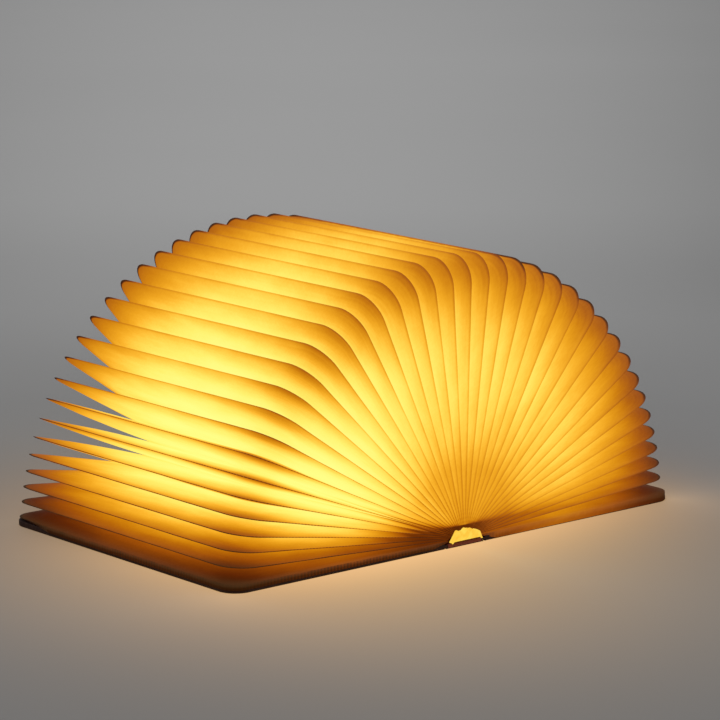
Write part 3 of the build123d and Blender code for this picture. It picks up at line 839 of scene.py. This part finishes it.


# Floor: the directions back and sideways in the picture, and its greys from the front to far behind, painted light and
# shade: darker in front of the lamp, paler far behind.
FLOOR_BACK, FLOOR_SIDE = (0.66, 0.75, 0.0), (0.75, -0.66, 0.0)
FLOOR_GREYS = (
    (0.00, 0.142), (0.16, 0.158), (0.25, 0.200), (0.29, 0.235), (0.34, 0.288),
    (0.41, 0.335), (0.49, 0.40), (0.58, 0.445), (0.70, 0.51), (0.83, 0.58), (1.00, 0.62),
)
# The pool of light before the lamp and the rim along its foot: places, sizes and levels.
POOL_MIDDLE, POOL_SIZE, POOL_LEVEL = (-0.095, -0.071, 0.0), (0.177, 0.209, 1.0), 0.28
RIM_SIZE, RIM_REACH, RIM_LEVEL = 0.20, 0.0463, 0.56


class LAMP_OT_stage(bpy.types.Operator):
    """Set the floor, the lights, the background and the camera."""

    bl_idname = "lamp.stage"
    bl_label = "Stage"

    def execute(self, context):
        """Builds the stage in metres round the lamp."""
        colours = context.scene.lamp_colours
        self.floor(colours)
        self.world(colours.surroundings)
        self.light("Key", (-1.1, -0.7, 1.5), 1.2, 14.0)
        self.light("Fill", (1.2, -1.0, 1.1), 1.4, 8.0)
        self.light("Top", (0.2, 0.9, 1.7), 1.4, 8.0)
        self.camera()
        context.scene.view_settings.view_transform = "Standard"
        return {"FINISHED"}

    def floor(self, colours):
        """A grey floor with painted light and shade, paler behind the lamp and darker towards the sides further back,
        with the lamp's light on it.
        """
        bm = bmesh.new()
        bmesh.ops.create_grid(bm, x_segments=1, y_segments=1, size=8.0)
        material, wires, shader = new_material("Floor")
        place = wires.node("ShaderNodeTexCoord").outputs["Object"]
        behind = wires.vector("DOT_PRODUCT", place, FLOOR_BACK, output="Value")
        beside = wires.vector("DOT_PRODUCT", place, FLOOR_SIDE, output="Value")
        shade = wires.ramp(wires.span(behind, -0.6, 3.0, smooth=False), [(at, (grey,) * 3) for at, grey in FLOOR_GREYS])
        # Painted shade: further back, the floor darkens towards the sides.
        lean = wires.math("ADD", wires.math("DIVIDE", beside, wires.math("ADD", behind, 2.0)), 0.02)
        dim = wires.span(behind, 0.15, 0.9, 0.0, -17.0)
        edge = wires.math("MULTIPLY_ADD", wires.math("MULTIPLY", lean, lean), dim, 1.0, clamp=True)
        mottle = wires.math("MULTIPLY_ADD", wires.noise(2.0), 0.04, 0.98)
        shade = wires.mix(1.0, shade, wires.math("MULTIPLY", edge, mottle), "MULTIPLY")
        wires.tree.links.new(shade, shader.inputs["Base Color"])
        wires.tree.links.new(self.floor_light(wires, place, colours), shader.inputs["Emission Color"])
        shader.inputs["Emission Strength"].default_value = 1.0
        shader.inputs["Roughness"].default_value = 0.85
        shader.inputs["Specular IOR Level"].default_value = 0.2
        mesh_object("floor", bm, material)

    def floor_light(self, wires, place, colours):
        """The light that the lamp throws: a wide pool before it, and a brighter rim along its foot."""
        pool = wires.vector("SUBTRACT", place, POOL_MIDDLE)
        pool = wires.vector("DIVIDE", pool, POOL_SIZE)
        square = wires.vector("DOT_PRODUCT", pool, pool, output="Value")
        pool = wires.math("EXPONENT", wires.math("MULTIPLY", square, -1.0))
        plan = wires.vector("ABSOLUTE", place)
        corner = (CAD_BOX[1][0], PAGE_HALF, 0.0)
        past = wires.vector("SUBTRACT", plan, corner)
        past = wires.vector("MAXIMUM", past, (0.0, 0.0, 0.0))
        gap = wires.vector("LENGTH", past, output="Value")
        across = wires.node("ShaderNodeSeparateXYZ", {0: place}).outputs["X"]
        across = wires.math("DIVIDE", across, RIM_SIZE)
        fall = wires.math("MULTIPLY_ADD", across, across, wires.math("DIVIDE", gap, RIM_REACH))
        rim = wires.math("EXPONENT", wires.math("MULTIPLY", fall, -1.0))
        along = wires.node("ShaderNodeSeparateXYZ", {0: place}).outputs["Y"]
        rim = wires.math("MULTIPLY", rim, wires.span(along, -0.05, 0.10, RIM_LEVEL, RIM_LEVEL * 0.2))
        light = wires.math("MULTIPLY_ADD", pool, POOL_LEVEL, rim)
        return wires.mix(1.0, four(colours.floor_glow), light, "MULTIPLY")

    def world(self, strength):
        """An even background."""
        world = bpy.data.worlds.new("Background")
        bpy.context.scene.world = world
        world.use_nodes = True
        background = world.node_tree.nodes["Background"]
        background.inputs["Color"].default_value = (1.0, 1.0, 1.0, 1.0)
        background.inputs["Strength"].default_value = strength

    def light(self, name, place, size, power):
        """One soft square lamp aimed at the middle of the object."""
        data = bpy.data.lights.new(name, "AREA")
        data.size = size
        data.energy = power
        lamp = bpy.data.objects.new(name, data)
        lamp.location = place
        aim = Vector((0, 0, 0.06)) - Vector(place)
        lamp.rotation_euler = aim.to_track_quat("-Z", "Y").to_euler()
        bpy.context.scene.collection.objects.link(lamp)

    def camera(self):
        """The photograph's view."""
        forward = Vector((
            math.sin(CAMERA_YAW) * math.cos(CAMERA_PITCH),
            math.cos(CAMERA_YAW) * math.cos(CAMERA_PITCH),
            -math.sin(CAMERA_PITCH),
        ))
        level = Vector((math.cos(CAMERA_YAW), -math.sin(CAMERA_YAW), 0))
        upright = level.cross(forward)
        right = level * math.cos(CAMERA_ROLL) + upright * math.sin(CAMERA_ROLL)
        up = upright * math.cos(CAMERA_ROLL) - level * math.sin(CAMERA_ROLL)
        turn = Matrix((right, up, -forward)).transposed().to_4x4()
        data = bpy.data.cameras.new("Camera")
        data.sensor_width = SENSOR
        data.sensor_fit = "HORIZONTAL"
        data.lens = PHOTO_FOCAL * SENSOR / PHOTO_SIZE
        data.clip_end = 50.0
        camera = bpy.data.objects.new("Camera", data)
        camera.matrix_world = Matrix.Translation(CAMERA_PLACE) @ turn
        bpy.context.scene.collection.objects.link(camera)
        bpy.context.scene.camera = camera


class LAMP_PT_panel(bpy.types.Panel):
    """Book lamp steps."""

    bl_label = "Book Lamp"
    bl_idname = "LAMP_PT_panel"
    bl_space_type = "VIEW_3D"
    bl_region_type = "UI"
    bl_category = "Book Lamp"

    def draw(self, context):
        """Lists the sizes, the colours and the steps."""
        for group in (context.scene.lamp_pleats, context.scene.lamp_steps, context.scene.lamp_colours):
            for name in group.__annotations__:
                self.layout.prop(group, name)
        for step in STEPS:
            self.layout.operator(step.bl_idname)


STEPS = (LAMP_OT_finishes, LAMP_OT_pleats, LAMP_OT_hoods, LAMP_OT_stage)
GROUPS = {"lamp_pleats": PleatSizes, "lamp_steps": PleatSteps, "lamp_colours": LampColours}


def register():
    """Registers the classes and hangs the settings on the scene."""
    for kind in (*GROUPS.values(), *STEPS, LAMP_PT_panel):
        bpy.utils.register_class(kind)
    for name, kind in GROUPS.items():
        setattr(bpy.types.Scene, name, PointerProperty(type=kind))


def unregister():
    """Undoes register."""
    for name in GROUPS:
        delattr(bpy.types.Scene, name)
    for kind in (LAMP_PT_panel, *reversed(STEPS), *reversed(list(GROUPS.values()))):
        bpy.utils.unregister_class(kind)


def main():
    """Builds every piece in order."""
    register()
    bpy.ops.lamp.finishes()
    bpy.ops.lamp.pleats()
    bpy.ops.lamp.hoods()
    bpy.ops.lamp.stage()


if __name__ == "__main__":
    main()
